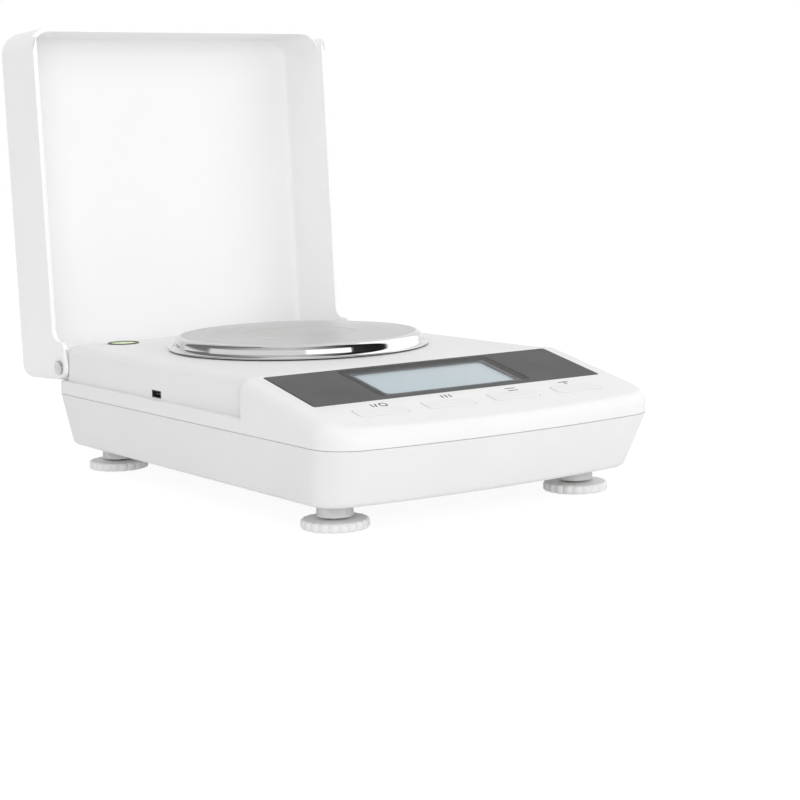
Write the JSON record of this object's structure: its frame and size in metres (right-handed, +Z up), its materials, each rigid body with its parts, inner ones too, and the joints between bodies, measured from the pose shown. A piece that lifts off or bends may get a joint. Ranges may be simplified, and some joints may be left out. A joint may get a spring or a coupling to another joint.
{
  "type": "precision scale",
  "caption": "Bench weighing scale with a round steel pan, sloping display front with flush keys, levelling feet and a hinged draft hood standing open.",
  "frame": {"origin": "centre of the whole object's footprint with its hood open, on the table under the feet", "axes": "+Z up, -Y towards the user at the sloping front, +X to the user's right"},
  "size_m": [0.18, 0.3226, 0.2257],
  "materials": {
    "housing": "fine satin grain",
    "pan_steel": "circular brushed top, polished rim",
    "support_alloy": "satin",
    "cell_alloy": "milled",
    "soft_rubber": "matt",
    "gauge_sealant": "soft matt",
    "fastener_steel": "zinc plated",
    "pivot_steel": "polished",
    "foot_plastic": "satin",
    "insert_brass": "machined",
    "overlay_film": "satin film",
    "clear_window": "clear gloss",
    "frame_plastic": "matt",
    "lcd_face": "grey-green reflective display",
    "light_guide": "white",
    "circuit_board": "solder mask",
    "board_part": "moulded",
    "key_plastic": "satin",
    "silicone": "soft matt",
    "lid_plastic": "smooth satin",
    "socket_black": "moulded",
    "level_plastic": "moulded",
    "level_glass": "clear"
  },
  "bodies": {
    "base": {"backlight": "light_guide", "base_plate_screws": "fastener_steel", "cell_base_plate": "support_alloy", "cell_lower_bolts": "fastener_steel", "cell_spacer": "support_alloy", "dc_socket": "socket_black", "display_board": "circuit_board", "display_board_screws": "fastener_steel", "display_overlay": "overlay_film", "display_window": "clear_window", "foot_inserts": "insert_brass", "gauge_cover": "gauge_sealant", "housing_screws": "fastener_steel", "key_mat": "silicone", "lcd_frame": "frame_plastic", "lcd_glass": "lcd_face", "level_cup": "level_plastic", "level_vial": "level_glass", "lid_pivot_pins": "pivot_steel", "load_cell": "cell_alloy", "lower_housing": "housing", "main_board": "circuit_board", "main_board_parts": "board_part", "main_board_screws": "fastener_steel", "overload_stop": "fastener_steel", "side_socket": "socket_black", "upper_housing": "housing"},
    "carrier": {"cell_top_bracket": "support_alloy", "cell_upper_bolts": "fastener_steel", "pan_support": "support_alloy", "pan_buffers": "soft_rubber", "support_screw": "fastener_steel"},
    "pan": {"weighing_pan": "pan_steel"},
    "lid": {"draft_lid": "lid_plastic"},
    "key_1_body": {"key_1": "key_plastic"},
    "key_2_body": {"key_2": "key_plastic"},
    "key_3_body": {"key_3": "key_plastic"},
    "key_4_body": {"key_4": "key_plastic"},
    "foot_base_front_left": {"foot_pad_front_left": "soft_rubber"},
    "foot_front_left": {"foot_disc_front_left": "foot_plastic", "foot_stud_front_left": "fastener_steel"},
    "foot_base_front_right": {"foot_pad_front_right": "soft_rubber"},
    "foot_front_right": {"foot_disc_front_right": "foot_plastic", "foot_stud_front_right": "fastener_steel"},
    "foot_base_rear_left": {"foot_pad_rear_left": "soft_rubber"},
    "foot_rear_left": {"foot_disc_rear_left": "foot_plastic", "foot_stud_rear_left": "fastener_steel"},
    "foot_base_rear_right": {"foot_pad_rear_right": "soft_rubber"},
    "foot_rear_right": {"foot_disc_rear_right": "foot_plastic", "foot_stud_rear_right": "fastener_steel"}
  },
  "joints": [
    {"name": "lid_hinge", "type": "hinge", "parent": "base", "child": "lid", "pos_m": [0, 0.10337, 0.052], "axis": [1, 0, 0], "range_deg": [0, 93]},
    {"name": "pan_load", "type": "slide", "parent": "base", "child": "carrier", "axis": [0, 0, 1], "range_m": [-0.0004, 0], "stiffness_N_per_m": 50000, "deforming": ["load_cell"]},
    {"name": "pan_lift", "type": "slide", "parent": "carrier", "child": "pan", "axis": [0, 0, 1], "range_m": [0, 0.025]},
    {"name": "key_1_press", "type": "slide", "parent": "base", "child": "key_1_body", "axis": [0, 0.2079, -0.9781], "range_m": [0, 0.0008], "stiffness_N_per_m": 1250},
    {"name": "key_2_press", "type": "slide", "parent": "base", "child": "key_2_body", "axis": [0, 0.2079, -0.9781], "range_m": [0, 0.0008], "stiffness_N_per_m": 1250},
    {"name": "key_3_press", "type": "slide", "parent": "base", "child": "key_3_body", "axis": [0, 0.2079, -0.9781], "range_m": [0, 0.0008], "stiffness_N_per_m": 1250},
    {"name": "key_4_press", "type": "slide", "parent": "base", "child": "key_4_body", "axis": [0, 0.2079, -0.9781], "range_m": [0, 0.0008], "stiffness_N_per_m": 1250},
    {"name": "foot_front_left_height", "type": "slide", "parent": "base", "child": "foot_base_front_left", "axis": [0, 0, 1], "range_m": [-0.006, 0.001]},
    {"name": "foot_front_left_turn", "type": "hinge", "parent": "foot_base_front_left", "child": "foot_front_left", "pos_m": [-0.0675, -0.12063, 0.003], "axis": [0, 0, 1], "range_deg": [-2161, 361]},
    {"name": "foot_front_right_height", "type": "slide", "parent": "base", "child": "foot_base_front_right", "axis": [0, 0, 1], "range_m": [-0.006, 0.001]},
    {"name": "foot_front_right_turn", "type": "hinge", "parent": "foot_base_front_right", "child": "foot_front_right", "pos_m": [0.0675, -0.12063, 0.003], "axis": [0, 0, 1], "range_deg": [-2161, 361]},
    {"name": "foot_rear_left_height", "type": "slide", "parent": "base", "child": "foot_base_rear_left", "axis": [0, 0, 1], "range_m": [-0.006, 0.001]},
    {"name": "foot_rear_left_turn", "type": "hinge", "parent": "foot_base_rear_left", "child": "foot_rear_left", "pos_m": [-0.0675, 0.08287, 0.003], "axis": [0, 0, 1], "range_deg": [-2161, 361]},
    {"name": "foot_rear_right_height", "type": "slide", "parent": "base", "child": "foot_base_rear_right", "axis": [0, 0, 1], "range_m": [-0.006, 0.001]},
    {"name": "foot_rear_right_turn", "type": "hinge", "parent": "foot_base_rear_right", "child": "foot_rear_right", "pos_m": [0.0675, 0.08287, 0.003], "axis": [0, 0, 1], "range_deg": [-2161, 361]}
  ],
  "couplings": [
    {"joint": "foot_front_left_turn", "follows": "foot_front_left_height", "rad_per_m": 6283.2},
    {"joint": "foot_front_right_turn", "follows": "foot_front_right_height", "rad_per_m": 6283.2},
    {"joint": "foot_rear_left_turn", "follows": "foot_rear_left_height", "rad_per_m": 6283.2},
    {"joint": "foot_rear_right_turn", "follows": "foot_rear_right_height", "rad_per_m": 6283.2}
  ]
}
